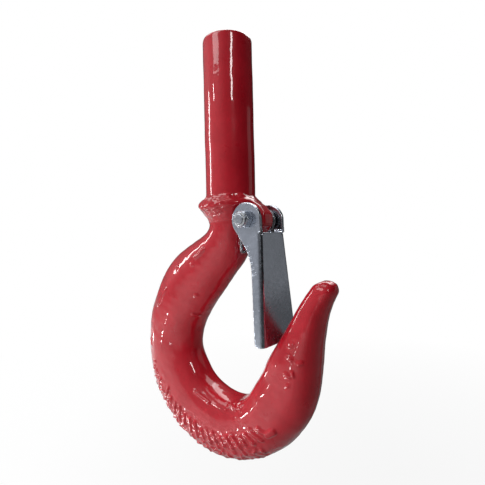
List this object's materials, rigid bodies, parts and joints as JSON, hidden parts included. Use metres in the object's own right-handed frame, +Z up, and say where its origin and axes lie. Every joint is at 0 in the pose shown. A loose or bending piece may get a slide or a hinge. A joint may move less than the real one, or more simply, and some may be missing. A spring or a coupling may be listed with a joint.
{
  "type": "shank hook with safety latch",
  "caption": "Forged shank hook with a round plain shank and a spring-loaded pressed-steel safety latch that closes the hook's throat.",
  "frame": {"origin": "on the shank's axis, where the shank's cylinder meets the collar", "axes": "+Z up the shank, +X towards the hook's tip, +Y across the hook's thickness; the hook is flat in the XZ plane"},
  "size_m": [0.0944, 0.0269, 0.1737],
  "materials": {
    "red_enamel": "gloss",
    "zinc_plated_sheet": "satin",
    "spring_steel": "satin",
    "zinc_plated_bolt": "satin",
    "zinc_plated_nut": "satin",
    "nylon_ring": "matte"
  },
  "bodies": {
    "hook": {"hook_body": "red_enamel", "torsion_spring": "spring_steel"},
    "latch": {"latch": "zinc_plated_sheet"},
    "fastener": {"latch_bolt": "zinc_plated_bolt", "lock_nut": "zinc_plated_nut", "lock_nut_insert": "nylon_ring"}
  },
  "joints": [
    {"name": "latch_swing", "type": "hinge", "parent": "hook", "child": "latch", "pos_m": [0.0135, 0, -0.0102], "axis": [0, 1, 0], "range_deg": [0, 44], "stiffness_Nm_per_rad": 0.15, "springref_deg": -68.75, "deforming": ["torsion_spring"]},
    {"name": "bolt_spin", "type": "hinge", "parent": "hook", "child": "fastener", "pos_m": [0.0135, 0, -0.0102], "axis": [0, 1, 0], "continuous": true}
  ]
}
